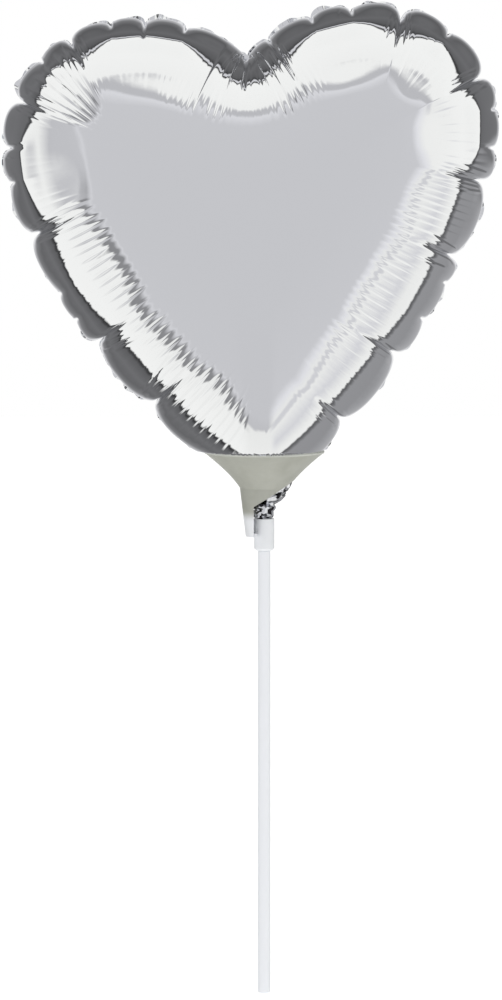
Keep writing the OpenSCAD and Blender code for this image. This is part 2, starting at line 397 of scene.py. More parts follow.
def lobe_of(at, edges):
    """Which lobe between these places a point is in, its share of the way across, and the lobe's length."""
    edges = np.r_[edges, edges[0] + perimeter]
    where = (at - edges[0]) % perimeter + edges[0]
    k = np.clip(np.searchsorted(edges, where, side="right") - 1, 0, len(edges) - 2)
    length = edges[k + 1] - edges[k]
    return k, np.clip((where - edges[k]) / length, 0, 1), length


def lobe_arcs(at, along):
    """Height of the round lobes near the rim: each is an arc from one pucker to the next."""
    k, across, _ = lobe_of(at, pucker_at)
    depth = valley_depth[k] * (1 - across) + np.roll(valley_depth, -1)[k] * across
    return -ARC_SHARE * depth * np.abs(2 * across - 1) ** ARC_POWER * ease(along, ARC_ENDS, ARC_FULL)


def valleys(at, along, wider, lengths):
    """Height of the lobes' arcs and the sharp valleys at the puckers, which fade out along each crease."""
    total = lobe_arcs(at, along)
    for k, centre in enumerate(pucker_at):
        reach = float(np.interp(lengths[k], section_inward, section_along))
        gap = gap_round(at, centre)
        lobe = np.where(gap > 0, lobe_after[k], lobe_before[k])
        left = np.clip(1 - along / reach, 0, 1)
        narrow = ease(along, 2, min(reach, 24))
        width = VALLEY_WIDE * lobe * (1 - narrow) + VALLEY_NARROW * narrow
        total -= GAP_SHARE * valley_depth[k] * left ** 0.7 * np.exp(-(np.abs(gap) * wider / width) ** 0.75)
        tuck = TUCK_DEPTH * slack[k] * min(lengths[k] / 14, 1) * left ** 0.8
        total -= tuck * np.exp(-np.abs(gap) * wider / TUCK_WIDTH)
    return total


print("valleys in mm:", np.round(valley_depth, 1))

# %% Straight lobes
CHORD = 8
LONG_CREASE = 14
BY_RIM_SHARE, BY_RIM_MOST = 0.7, 2.0
INNER_SHARE, INNER_MOST = 0.6, 2.6
TIP_ZONE = (24, 46)


def outward_at(at):
    """The outward direction at these distances along the rim."""
    return np.stack([np.interp(at % perimeter, places, outward[:, k]) for k in (0, 1)], 1)


def rim_curvature(at):
    """Curvature of the outline in 1/mm, averaged over two chords and never negative."""
    a, b, c = on_rim(at - CHORD), on_rim(at), on_rim(at + CHORD)
    return np.maximum(((2 * b - a - c) * outward_at(at)).sum(1) / CHORD ** 2, 0)


def straight_between(at, edges, most):
    """How far the heart's curve stands proud of straight lines between these places."""
    _, across, length = lobe_of(at, edges)
    # A shallow arc rises by its curvature times the square of its length, over 8.
    rise = rim_curvature(places)[None] * length ** 2 / 8
    off_tip = ease(np.abs(gap_round(at, perimeter / 2)), *TIP_ZONE)
    return off_tip * np.minimum(rise, most) * (1 - (2 * across - 1) ** 2)


def straight_lobes(at, along):
    """Takes the heart's own curve away: between all puckers by the rim, between long creases further in."""
    by_rim = ease(along, 9, 17) * ease(along, 30, 20)
    inner = ease(along, 20, 30) * ease(along, 54, 38)
    long_ones = pucker_at[crease_length >= LONG_CREASE]
    return (-BY_RIM_SHARE * by_rim * straight_between(at, pucker_at, BY_RIM_MOST)
            - INNER_SHARE * inner * straight_between(at, long_ones, INNER_MOST))


print("long creases:", int((crease_length >= LONG_CREASE).sum()), "of", len(crease_length))

# %% Creases and pleats
CREASE_DEPTH, CREASE_WIDTH = 0.55, 0.42
PLEAT_DEPTH, PLEAT_WIDTH = 0.34, 0.38
BUNDLE_FROM, BUNDLE, SMALL_BUNDLE = 12, 7, 2
BANK = 0.45


def creases(at, along, lengths, rng):
    """Bundles of sharp pleats that run in from each pucker and spread a little."""
    total = np.zeros_like(along)
    for centre, length in zip(pucker_at, lengths):
        reach = float(np.interp(length, section_inward, section_along))
        gap = gap_round(at, centre) * spread
        for n in range(BUNDLE if length > BUNDLE_FROM else SMALL_BUNDLE):
            offset = 0 if n == 0 else rng.uniform(0.7, 3.4) * rng.choice([-1, 1])
            slant = rng.uniform(-0.05, 0.05) + offset * 0.02
            bend = rng.uniform(-0.0012, 0.0012)
            first = 0 if n == 0 else rng.uniform(8, 17)
            end = reach * rng.uniform(0.8, 1.12)
            line = gap - offset - slant * along - bend * along ** 2
            window = ease(along, first, first + 4) * ease(along, end, end * 0.6)
            depth = CREASE_DEPTH if n == 0 else PLEAT_DEPTH * rng.uniform(0.5, 1)
            width = CREASE_WIDTH if n == 0 else PLEAT_WIDTH
            pleat = np.exp(-(line / width) ** 2) - BANK * np.exp(-(line / width - 2) ** 2)
            total -= window * depth * pleat
    return total


print("creases in bundles of", BUNDLE, "or", SMALL_BUNDLE, "up to", CREASE_DEPTH, "mm deep")

# %% Where the film is gathered
# Degrees round the heart, strength of the gathering there, pitch of its pleats in mm, and how much of it
# lies right by the dark edge instead of on the shoulder.
GATHERED = [
    (0, 1.0, 2.2, 0.2), (10, 0.9, 2.2, 0.2), (22, 0.4, 2.1, 0.3), (40, 0.3, 2.1, 0.5), (52, 0.6, 2.2, 0.5),
    (67, 0.35, 2.3, 0.3), (80, 0.4, 2.8, 0.3), (90, 0.6, 2.4, 0.4), (100, 0.9, 2.3, 0.6),
    (112, 1.0, 2.6, 0.3), (141, 1.0, 2.8, 0.5), (155, 0.8, 2.4, 0.7), (166, 0.35, 2.4, 0.8),
    (176, 0.05, 2.4, 0.5), (188, 0.05, 2.4, 0.5), (192, 0.9, 3.0, 0.9), (204, 1.1, 3.2, 0.9),
    (210, 1.1, 3.2, 0.35), (229, 1.0, 3.3, 0.3), (262, 1.1, 3.2, 0.4), (266, 0.4, 3.0, 0.3),
    (272, 0.15, 2.6, 0.3), (288, 0.15, 2.4, 0.4), (294, 0.8, 2.4, 0.8), (304, 1.15, 2.6, 0.9),
    (313, 0.8, 2.4, 0.8), (320, 0.35, 2.1, 0.3), (336, 0.45, 2.1, 0.2), (350, 1.0, 2.2, 0.2),
    (360, 1.0, 2.2, 0.2),
]
# The pleats are counted along one ring on the shoulder, so they keep their pitch there all the way round.
RING_ALONG = 38.0
gather_at = np.array([place_of(g[0]) for g in GATHERED[:-1]] + [perimeter])
gather_strength, gather_pitch, gather_edge = np.array([g[1:] for g in GATHERED]).T
ring_row = int(np.argmin(np.abs(band_along - RING_ALONG)))
ring_step = np.linalg.norm(np.roll(plan[ring_row], -1, 0) - plan[ring_row], axis=1)
comb_turn = np.cumsum(ring_step / np.interp(places, gather_at, gather_pitch))
comb_turn *= round(comb_turn[-1]) / comb_turn[-1]
print("pleats round the shoulder:", round(float(comb_turn[-1])))

# %% Comb of pleats
COMB_SLOPE, VALLEY_PART, ROUGHNESS = 0.72, 0.17, 0.04
SLOW_WANDER, QUICK_WANDER = 0.35, 0.08


def pleated(turns):
    """One narrow valley per turn, with a broad flat between it and the next. Its steepest slope is 0.86."""
    u = turns - np.floor(turns) - 0.5
    return -VALLEY_PART * np.exp(-(u / VALLEY_PART) ** 2)


def wrinkles(at, along, seed):
    """A comb of pleats, evenly spaced over the shoulder and strongest there."""
    wander = wrinkle_noise(seed + 1, 12, 60, at, along) * SLOW_WANDER
    wander = wander + wrinkle_noise(seed + 2, 4, 25, at, along) * QUICK_WANDER
    rough = wrinkle_noise(seed + 3, 1.0, 9, at, along)
    patch = 0.72 + 0.28 * ease(wrinkle_noise(seed + 4, 6, 9, at, along), -0.4, 0.4)
    strength = np.interp(at % perimeter, gather_at, gather_strength)
    fanned = np.clip(spread / spread[ring_row], 0.1, 1.6)
    pitch = np.interp(at % perimeter, gather_at, gather_pitch) * fanned
    edge = np.interp(at % perimeter, gather_at, gather_edge)
    inner = 34 + 20 * strength + 5 * wrinkle_noise(seed + 5, 2.0, 30, at, np.zeros_like(along))
    inner = np.minimum(inner, BAND_ALONG)
    window = edge * ease(along, 13, 21) + (1 - edge) * ease(along, 28, 39)
    window = window * ease(along, inner, inner - 13)
    calm = ease(spread, 0.06, 0.16)
    comb = pleated(comb_turn[None] + wander) + ROUGHNESS * rough
    return COMB_SLOPE * pitch * strength * window * patch * calm * comb


comb_height = COMB_SLOPE * VALLEY_PART * float(gather_pitch.max())
print("deepest pleat in mm:", round(comb_height * float(gather_strength.max()), 2))

# %% The whole relief
WAVE_HEIGHT = 0.22
SHORTEST, LONGEST = 4, 26


def relief(side):
    """Height of the relief at every row and column of one panel, -1 for the front and 1 for the back."""
    rng = np.random.default_rng(11 if side < 0 else 23)
    seed = 100 if side < 0 else 200
    at = np.repeat(places[None], rows, 0)
    lengths = crease_length
    if side > 0:
        lengths = np.clip(crease_length * rng.uniform(0.5, 1.4, len(crease_length)), SHORTEST, LONGEST)
    waves = wrinkle_noise(seed + 9, 17, 22, at, along_at) * ease(along_at, 2, 9) * ease(along_at, 52, 34)
    total = valleys(at, along_at, spread, lengths) + straight_lobes(at, along_at)
    total += creases(at, along_at, lengths, rng) + WAVE_HEIGHT * waves * ease(spread, 2.6, 1.3)
    crowded = ease(along_at, 14, 22) * ease(spread, 0.42, 0.12)
    return total * (1 - crowded) + wrinkles(at, along_at, seed)


print("relief covers", rows, "rows of", COLUMNS, "points")

# %% [markdown]
# ## Where the film meets the cup
# The lower end of the heart is wedged in the cup's bell, so the film can't be wider than the inside of
# the bell at any height. The bell's inside is the same curve that the cup was turned from, a quadratic
# Bezier curve from the throat to the rim, and film that would be outside it is pressed in to it.

# %% Bell curve
cup_low, cup_high = (np.array(c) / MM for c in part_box("cup"))
LIP_H, BELL_H, BELL_CLEAR = 0.6, 12.5, 0.35
RIM_Z = cup_high[2] - LIP_H
THROAT_Z = RIM_Z - BELL_H
bell_points = [np.array(p) for p in ((7.9, 0.3), (11.3, 5.7), (20.3, 12.9))]
t = np.linspace(0, 1, 60)[:, None]
bell = (1 - t) ** 2 * bell_points[0] + 2 * (1 - t) * t * bell_points[1] + t ** 2 * bell_points[2]


def pressed_in_bell(points):
    """Pulls points below the cup's rim to the inside of the bell."""
    z = points[:, 2] - THROAT_Z
    inside = bell[:, 0] - BELL_CLEAR
    limit = np.interp(z, bell[:, 1], inside, left=inside[0], right=1e9)
    r = np.hypot(points[:, 0], points[:, 1])
    scale = np.where(r > limit, limit / np.maximum(r, 1e-9), 1)
    points[:, 0] *= scale
    points[:, 1] *= scale
    return points


print("bell from", round(THROAT_Z, 1), "to", round(RIM_Z, 1), "mm above the stick's end")

# %% [markdown]
# ## From plan to solid
# The heart stands on its tip in the throat of the cup, and it leans a little to the left, as a balloon in
# a loose cup does. The film was never quite even either: the right lobe stands a little higher than the
# lean alone would lift it. One function places plan points and heights in the frame's own axes.

# %% Placing
LEAN, LIFT = math.radians(2.25), math.radians(3.6)
TIP_BELOW_RIM = 13.0
TIP_Z = RIM_Z - TIP_BELOW_RIM


def placed(plan_points, height):
    """Points in the frame, in mm, from points of the plan and their heights to the back."""
    x = plan_points[:, 0] * math.cos(LEAN) - plan_points[:, 1] * math.sin(LEAN)
    z = plan_points[:, 0] * math.sin(LIFT) + plan_points[:, 1] * math.cos(LIFT)
    return np.c_[x, height, z + TIP_Z]


def smooth_mesh(name, points_mm, faces):
    """A smooth-shaded object from points in mm."""
    mesh = bpy.data.meshes.new(name)
    mesh.from_pydata((points_mm * MM).tolist(), [], faces)
    mesh.update()
    mesh.shade_smooth()
    obj = bpy.data.objects.new(name, mesh)
    bpy.context.scene.collection.objects.link(obj)
    return obj


print("the heart's tip is", round(TIP_Z, 1), "mm above the stick's end")

# %% [markdown]
# ## The seam
# The film overhangs the seam, because air pushes it out on both sides while the weld stays behind. So the
# seam lies in a groove, about 3 mm in from the lobes, and it wanders a little to the front and back. Both
# panels share it, so its line is worked out once.

# %% Seam
SEAM_BEHIND, SEAM_WANDER, OVERHANG = 3.1, 0.8, 5.5
none = np.zeros(COLUMNS)
seam_wave = wrinkle_noise(301, 4.2, 10, places, none) * SEAM_WANDER
lobe_edge = valleys(places, none + 4, np.ones(COLUMNS), crease_length)
seam_shift = lobe_edge - SEAM_BEHIND + 0.5 * wrinkle_noise(302, 6, 10, places, none)
seam_plan = rim + outward * seam_shift[:, None]
print("seam lies in from the rim by", np.round([-seam_shift.max(), -seam_shift.min()], 1), "mm")

# %% [markdown]
# ## The two panels
# Each panel is one continuous sheet of film, from the seam to the middle of the heart. Its rows are
# joined by quads, and a fan of triangles closes the middle. Close to the seam the relief gives way to the
# seam's own line, so that front and back meet there.

# %% Faces between rows


def ring_faces(count, around, flip=False, closing_point=None):
    """Quads between closed rows of points, and a fan to a last point if there is one."""
    faces = []
    for j in range(count - 1):
        low, high = j * around, (j + 1) * around
        for i in range(around):
            k = (i + 1) % around
            quad = (low + i, low + k, high + k, high + i)
            faces.append(quad[::-1] if flip else quad)
    if closing_point is not None:
        start = (count - 1) * around
        for i in range(around):
            fan = (start + i, start + (i + 1) % around, closing_point)
            faces.append(fan[::-1] if flip else fan)
    return faces


print("faces between two rows:", len(ring_faces(2, COLUMNS)))

# %% Panels


def film_panel(name, side):
    """One panel of film: side is -1 for the front and 1 for the back."""
    height = relief(side)
    upright = np.sqrt(np.clip(1 - lean_at ** 2, 0, 1))
    by_seam = ease(along_at, OVERHANG, 0)
    shift = height * lean_at * (1 - by_seam) + seam_shift[None] * by_seam
    flat = plan + out_plan * shift[:, :, None]
    risen = np.maximum(rise_at + height * upright * (1 - by_seam), 0)
    depth = side * risen + by_seam * seam_wave[None]
    points = placed(flat.reshape(-1, 2), depth.reshape(-1))
    points = np.vstack([points, placed(MIDDLE[None], np.array([side * middle_rise]))])
    faces = ring_faces(rows, COLUMNS, flip=side < 0, closing_point=rows * COLUMNS)
    return smooth_mesh(name, pressed_in_bell(points), faces)


front_foil = film_panel("front_foil", -1)
back_foil = film_panel("back_foil", 1)
for foil in (front_foil, back_foil):
    size = [round(c / MM, 1) for c in foil.dimensions]
    print(foil.name, "faces:", len(foil.data.polygons), "size in mm:", size)

# %% [markdown]
# ## The sealed flange
# Outside the seam both films are welded flat together into a narrow flange. It has no air in it, so it
# takes up the spare length by ruffling. The lobes hide it from the front, except where it was cut a
# little wider. It is a thin strip of five rows, moved to the front and back by two waves of noise: enough
# for something that shows only as a glint between the lobes.

# %% Flange
FLANGE_W, FLANGE_ROWS = 2.7, 5
RUFFLE, FINE_RUFFLE = 1.3, 0.5
# Degrees round the heart, half length of the place along the rim, and extra width there, both in mm.
FLANGE_SHOWS = [
    (16, 14, 1.5), (335, 10, 1.3), (212, 9, 0.9), (232, 7, 0.8), (100, 6, 1.0), (172, 12, 1.0),
    (297, 5, 1.2),
]


def seam_flange():
    """The welded strip outside the seam."""
    width = FLANGE_W * (1 + 0.25 * wrinkle_noise(403, 3.1, 10, places, none))
    for degrees, half_width, extra in FLANGE_SHOWS:
        width = width + extra * np.exp(-(gap_round(places, place_of(degrees)) / half_width) ** 2)
    ruffle = RUFFLE * wrinkle_noise(401, 2.6, 10, places, none)
    ruffle = ruffle + FINE_RUFFLE * wrinkle_noise(402, 1.1, 10, places, none)
    points = []
    for row in range(FLANGE_ROWS):
        share = row / (FLANGE_ROWS - 1)
        flat = seam_plan + outward * (width * share)[:, None]
        points.append(placed(flat, seam_wave + ruffle * share ** 0.8))
    return smooth_mesh("seam_flange", pressed_in_bell(np.vstack(points)), ring_faces(FLANGE_ROWS, COLUMNS))


flange = seam_flange()
print("flange faces:", len(flange.data.polygons))

# %% [markdown]
# ## The gathered tail
# Below the heart both films run on as a narrow inflation neck. After filling it is bunched up, pulled
# through the throat of the cup and trapped in the socket beside the stick. Bunched film breaks into flat
# facets with sharp folds between them, so the tail is a tube whose skin is moved in and out by triangle
# waves that run in many directions. Their straight flanks are the facets, and their peaks are the folds.

# %% Tail sections
# Height above the stick's end, middle in x and y, and radius, in mm, from the socket up to the throat.
TAIL_SECTIONS = [
    (169.5, 0.0, 0.0, 1.7), (170.9, 0.0, 0.0, 2.2), (171.5, -0.4, -0.4, 3.4), (173.0, -0.6, -0.6, 3.7),
    (175.0, -0.1, -0.7, 4.0), (177.0, 0.8, -0.6, 4.5), (179.0, 1.8, -0.5, 5.2), (181.0, 2.5, -0.4, 6.1),
    (184.0, 2.3, -0.2, 7.3), (186.5, 0.4, 0.0, 8.4),
]
print("tail from", TAIL_SECTIONS[0][0], "to", TAIL_SECTIONS[-1][0], "mm above the stick's end")

# %% Tail
TAIL_AROUND, TAIL_UP = 260, 200
FOLD_WAVES, FOLD_DEPTH, FOLD_MOST = 8, 2.3, 0.3
PLEATS, PLEAT_HEIGHT = 11, 0.42
CRUSH_FROM, CRUSH_TO = (170.9, 172.4), (183.5, 178.0)
LOOSE_FROM, LOOSE_TO = (173.0, 180.0), (186.5, 184.0)
THINNEST = 0.8


def triangle(x):
    """A triangle wave from -1 to 1, once for each whole number."""
    return 2 * np.abs(2 * (x - np.floor(x + 0.5))) - 1


def crumpled_tail():
    """A tube through the tail's sections, crushed into facets low down and pleated where it opens."""
    rng = np.random.default_rng(77)
    stations = np.array(TAIL_SECTIONS)
    z = np.linspace(stations[0, 0], stations[-1, 0], TAIL_UP)[:, None]
    turn = np.linspace(0, 2 * math.pi, TAIL_AROUND, endpoint=False)[None]
    middle_x, middle_y, radius = (np.interp(z, stations[:, 0], stations[:, k]) for k in (1, 2, 3))
    crush = ease(z, *CRUSH_FROM) * ease(z, *CRUSH_TO)
    loose = ease(z, *LOOSE_FROM) * ease(z, *LOOSE_TO)
    fold = np.zeros((TAIL_UP, TAIL_AROUND))
    for _ in range(FOLD_WAVES):
        lobes_round = int(rng.integers(1, 6)) * int(rng.choice([-1, 1]))
        per_mm = rng.uniform(0.14, 0.46)
        height = 1.5 / (2 + abs(lobes_round))
        fold = fold + height * triangle(lobes_round * turn / (2 * math.pi) + per_mm * z + rng.uniform())
    pleat = triangle(PLEATS * turn / (2 * math.pi) + 0.35 * np.sin(z * 0.5) + 0.2 * np.sin(2 * turn))
    r = radius * (1 + 0.05 * np.sin(2 * turn + 0.4)) + crush * np.minimum(FOLD_DEPTH * fold, FOLD_MOST)
    r = np.maximum(r + PLEAT_HEIGHT * loose * pleat * (1 - 0.5 * crush), THINNEST)
    x = middle_x + r * np.cos(turn)
    y = middle_y + r * np.sin(turn)
    points = np.stack([x, y, np.broadcast_to(z, x.shape)], 2).reshape(-1, 3)
    return smooth_mesh("crumpled_tail", points, ring_faces(TAIL_UP, TAIL_AROUND))


tail = crumpled_tail()
print("tail faces:", len(tail.data.polygons))

# %% [markdown]
# ## Materials
# A small set of helpers comes first: one turns an sRGB hex value to linear light, one starts a material,
# and one adds a node with its settings and its links.

# %% Material helpers


def linear(hex_value):
    """Linear light, with an alpha of 1, from an sRGB hex value."""
    channels = [int(hex_value[i:i + 2], 16) / 255 for i in (1, 3, 5)]
    return [c / 12.92 if c <= 0.04045 else ((c + 0.055) / 1.055) ** 2.4 for c in channels] + [1.0]


def node(tree, kind, links=None, values=None, **settings):
    """Adds a node. Settings are its own, values go to its inputs, links say which output feeds an input."""
    made = tree.nodes.new(kind)
    for key, value in settings.items():
        setattr(made, key, value)
    for key, value in (values or {}).items():
        made.inputs[key].default_value = value
    for key, output in (links or {}).items():
        tree.links.new(output, made.inputs[key])
    return made


def start_material(name, base, **values):
    """A material whose Principled BSDF has these values."""
    material = bpy.data.materials.new(name)
    material.use_nodes = True
    shader = material.node_tree.nodes["Principled BSDF"]
    shader.inputs["Base Color"].default_value = linear(base)
    for key, value in values.items():
        shader.inputs[key.replace("_", " ")].default_value = value
    return material, material.node_tree, shader


def dress(obj, material):
    """Makes this the object's only material."""
    obj.data.materials.clear()
    obj.data.materials.append(material)


print("linear mid grey:", round(linear("#808080")[0], 3))

# %% [markdown]
# ## Foil
# The foil is clear nylon or polyester film with a vapour-deposited aluminium layer, laminated to a
# heat-seal layer. The metal makes it a mirror, and the lamination makes the mirror a little hazy and
# slightly uneven, like fine orange peel. A metal keeps the default IOR, because its colour sets its
# reflection. The orange peel is drawn several times coarser than the real one, which is too fine to show.

# %% Metallised film
HAZE_MM, PEEL_MM = 45.45, 3.846
LEAST_ROUGH, MOST_ROUGH = 0.035, 0.06


def metallised_film(name):
    """Aluminised laminate, hazy from its sealant layer and with faint orange peel from the lamination."""
    material, tree, shader = start_material(name, "#EDEEF1", Metallic=1.0)
    at = node(tree, "ShaderNodeTexCoord").outputs["Object"]
    haze = node(tree, "ShaderNodeTexNoise", {"Vector": at}, {"Scale": 1 / (HAZE_MM * MM), "Detail": 3.0})
    rough = node(tree, "ShaderNodeMapRange", {"Value": haze.outputs["Fac"]},
                 {3: LEAST_ROUGH, 4: MOST_ROUGH})
    tree.links.new(rough.outputs[0], shader.inputs["Roughness"])
    peel = node(tree, "ShaderNodeTexNoise", {"Vector": at}, {"Scale": 1 / (PEEL_MM * MM), "Detail": 2.0})
    bump = node(tree, "ShaderNodeBump", {"Height": peel.outputs["Fac"]},
                {"Strength": 0.06, "Distance": 0.0002})
    tree.links.new(bump.outputs[0], shader.inputs["Normal"])
    return material, tree, shader


film_material = metallised_film("metallised_film")[0]
for piece in (front_foil, back_foil, flange):
    dress(piece, film_material)
print("finished:", film_material.name)

# %% [markdown]
# ## Crumpled foil
# The tail is the same film, bunched up small. In bunched foil many facets mirror the dark folds beside
# them and not the room, so bright and almost black facets lie side by side. Folds that fine are finer
# than the tail's mesh, so the dark shades stand for those reflections: cells of random shape get one of
# three tones.

# %% Folded film
FACET_MM = 1.5
FACET_SHADES = [(0.0, "#2B2B2E"), (0.22, "#8B8C90"), (0.42, "#EDEEF1")]


def folded_film():
    """The same film with facets in three tones."""
    material, tree, shader = metallised_film("folded_metallised_film")
    at = node(tree, "ShaderNodeTexCoord").outputs["Object"]
    facets = node(tree, "ShaderNodeTexVoronoi", {"Vector": at}, {"Scale": 1 / (FACET_MM * MM)})
    pick = node(tree, "ShaderNodeSeparateColor", {0: facets.outputs["Color"]})
    shade = node(tree, "ShaderNodeValToRGB", {0: pick.outputs[0]})
    stops = shade.color_ramp.elements
    shade.color_ramp.interpolation = "CONSTANT"
    stops.new(0.5)
    for stop, (position, hex_value) in zip(stops, FACET_SHADES):
        stop.position = position
        stop.color = linear(hex_value)
    tree.links.new(shade.outputs[0], shader.inputs["Base Color"])
    return material


dress(tail, folded_film())
print("finished:", tail.data.materials[0].name)

# %% [markdown]
# ## Cup
# The cup is one moulding of natural polypropylene, a milky plastic that lets some light through. Where
# the foil stands behind its thin wall the plastic shows the shaded metal as a grey-green cast, and the
# bare socket below is bluish white. More transmission would show the same, but with a noisy wall, so the
# cast is painted shade here: a colour that stands in for the shaded foil seen through the wall. One
# material does both, because it is one moulding: the colour changes with height, a painted highlight
# makes it lighter along the lip, where the edge gathers light, and a fine cloud of noise makes the painted
# shade uneven, as through a wall of uneven thickness. Polypropylene has an IOR of 1.49 and a soft gloss.

# %% Moulded polypropylene
SOCKET_TOP_Z, CAST_BELOW, CAST_ABOVE = 171.2, 1, 3
SHADE_CLOUD_MM, GLOSS_CLOUD_MM, LIP_HIGHLIGHT_MM = 6.0, 11.0, 0.5
POLYPROPYLENE_IOR = 1.49


def moulded_polypropylene():
    """Milky plastic: bluish white at the socket, painted grey-green shade over foil, painted highlight on
    the lip.
    """
    material, tree, shader = start_material(
        "moulded_polypropylene", "#F6F8FB", Roughness=0.3, IOR=POLYPROPYLENE_IOR, Transmission_Weight=0.12)
    at = node(tree, "ShaderNodeTexCoord").outputs["Object"]
    height = node(tree, "ShaderNodeSeparateXYZ", {0: at}).outputs["Z"]
    # Painted shade: over the foil a grey-green cast stands in for the shaded metal seen through the wall.
    over_foil = node(tree, "ShaderNodeMapRange", {"Value": height},
                     {1: (SOCKET_TOP_Z - CAST_BELOW) * MM, 2: (SOCKET_TOP_Z + CAST_ABOVE) * MM},
                     interpolation_type="SMOOTHSTEP")
    # This cloud of noise makes the painted shade uneven.
    shade_cloud = node(tree, "ShaderNodeTexNoise", {"Vector": at},
                {"Scale": 1 / (SHADE_CLOUD_MM * MM), "Detail": 4.0})
    cast = node(tree, "ShaderNodeMix", {0: shade_cloud.outputs["Fac"]},
                {6: linear("#A0A196"), 7: linear("#BDBEB5")}, data_type="RGBA")
    # Painted highlight: the colour turns lighter along the lip, where the edge gathers light.
    lip_highlight_mask = node(tree, "ShaderNodeMapRange", {"Value": height}, {1: (RIM_Z - LIP_HIGHLIGHT_MM) * MM, 2: RIM_Z * MM},
                interpolation_type="SMOOTHSTEP")
    cast_and_lip_highlight = node(tree, "ShaderNodeMix", {0: lip_highlight_mask.outputs[0], 6: cast.outputs[2]}, {7: linear("#D8DAD2")},
                data_type="RGBA")
    colour = node(tree, "ShaderNodeMix", {0: over_foil.outputs[0], 7: cast_and_lip_highlight.outputs[2]},
                  {6: linear("#F6F8FB")}, data_type="RGBA")
    tree.links.new(colour.outputs[2], shader.inputs["Base Color"])
    cloud = node(tree, "ShaderNodeTexNoise", {"Vector": at},
                 {"Scale": 1 / (GLOSS_CLOUD_MM * MM), "Detail": 4.0})
    rough = node(tree, "ShaderNodeMapRange", {"Value": cloud.outputs["Fac"]}, {3: 0.26, 4: 0.4})
    tree.links.new(rough.outputs[0], shader.inputs["Roughness"])
    return material


dress(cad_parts["cup"], moulded_polypropylene())
print("finished: moulded_polypropylene, its cast starts at", SOCKET_TOP_Z, "mm")

# %% [markdown]
# ## Stick
# The stick is the same plastic, but it was extruded: pushed out hot through a ring, which leaves very
# fine lines along it. Real die lines are some hundredths of a millimetre apart, too fine to show, so they
# are drawn about a millimetre apart here. They break up the gloss a little and run along the stick, as on
# the real one.

# %% Extruded polypropylene
DIE_LINE_MM, DIE_LINE_LENGTH_MM = 1.1, 170.0


def extruded_polypropylene():
    """White plastic with a dull gloss and fine lines along it."""
    material, tree, shader = start_material(
        "extruded_polypropylene", "#EEF0F4", Roughness=0.42, IOR=POLYPROPYLENE_IOR)
    at = node(tree, "ShaderNodeTexCoord").outputs["Object"]
    per_metre = [1 / (size * MM) for size in (DIE_LINE_MM, DIE_LINE_MM, DIE_LINE_LENGTH_MM)]
    stretch = node(tree, "ShaderNodeMapping", {"Vector": at}, {"Scale": per_metre})
    lines = node(tree, "ShaderNodeTexNoise", {"Vector": stretch.outputs[0]}, {"Scale": 1.0, "Detail": 2.0})
    bump = node(tree, "ShaderNodeBump", {"Height": lines.outputs["Fac"]},
                {"Strength": 0.15, "Distance": 0.0001})
    tree.links.new(bump.outputs[0], shader.inputs["Normal"])
    return material


dress(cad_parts["stick"], extruded_polypropylene())
print("finished: extruded_polypropylene")

# %% [markdown]
# ## Valve films
# Inside the neck two strips of clear polyethylene lie against each other. Air pressure shuts them, and a
# straw opens them. They are sealed in and unseen, but they get their own finish, so that the balloon is
# whole inside: thin, slightly milky film with soft waves from the blowing of the film.

# %% Valve film
FILM_WAVE_MM = 2.5


def blown_polyethylene():
    """Clear film, a little milky and softly waved."""
    material, tree, shader = start_material(
        "blown_polyethylene_film", "#E4E8EC", Roughness=0.25, IOR=1.5, Alpha=0.5)
    at = node(tree, "ShaderNodeTexCoord").outputs["Object"]
    milk = node(tree, "ShaderNodeTexNoise", {"Vector": at}, {"Scale": 1 / (FILM_WAVE_MM * MM)})
    colour = node(tree, "ShaderNodeMix", {0: milk.outputs["Fac"]},
                  {6: linear("#D6DCE2"), 7: linear("#EEF1F4")}, data_type="RGBA")
    tree.links.new(colour.outputs[2], shader.inputs["Base Color"])
    bump = node(tree, "ShaderNodeBump", {"Height": milk.outputs["Fac"]},
                {"Strength": 0.2, "Distance": 0.0001})
    tree.links.new(bump.outputs[0], shader.inputs["Normal"])
    return material


valve_material = blown_polyethylene()
for name in ("valve_front_film", "valve_back_film"):
    dress(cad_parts[name], valve_material)
print("finished:", valve_material.name)

# %% [markdown]
# ## Light
# A mirror shows its room, so the room is what makes foil look like foil. This room is a studio, written
# as the brightness in each direction. In front of the heart it is mid grey, then comes a bright ring of
# soft boxes, then a dark ring of unlit room, and last the lit paper behind. The boxes on the left are
# smaller than those on the right, so a darker gap shows inside the bright ring there, and other boxes
# stand at the far left and right, low on the right, above and below. Lamps and cards could be built as
# objects instead, but a table of brightness by angle is easier to tune. The camera itself sees plain
# white paper.

# %% Brightness round the heart
# Degrees from straight in front of the heart, and brightness there.
PAPER_RING = [(154, 0.45), (166, 0.8), (180, 0.95)]
RIGHT = [
    (0, 0.65), (40, 0.66), (44, 0.74), (47, 0.66), (50, 0.56), (54, 0.56), (58, 1.02), (88, 1.04),
    (90, 0.05), (92, 0.05), (96, 0.13), (112, 0.17), (126, 0.14), (144, 0.24), *PAPER_RING,
]
LEFT = [
    (0, 0.65), (40, 0.66), (43, 0.74), (46, 0.55), (49, 0.30), (55, 0.28), (58, 1.0), (88, 1.04),
    (90, 0.05), (92, 0.05), (96, 0.13), (112, 0.18), (126, 0.15), (144, 0.24), *PAPER_RING,
]
FAR_LEFT = [
    (0, 0.65), (41, 0.66), (45, 0.74), (49, 0.62), (64, 0.60), (78, 0.96), (88, 1.02), (90, 0.08),
    (92, 0.08), (96, 0.16), (144, 0.2), *PAPER_RING,
]
FAR_RIGHT = [
    (0, 0.65), (38, 0.67), (46, 0.86), (54, 0.98), (88, 1.04), (90, 0.08), (92, 0.08), (96, 0.16),
    (144, 0.2), *PAPER_RING,
]
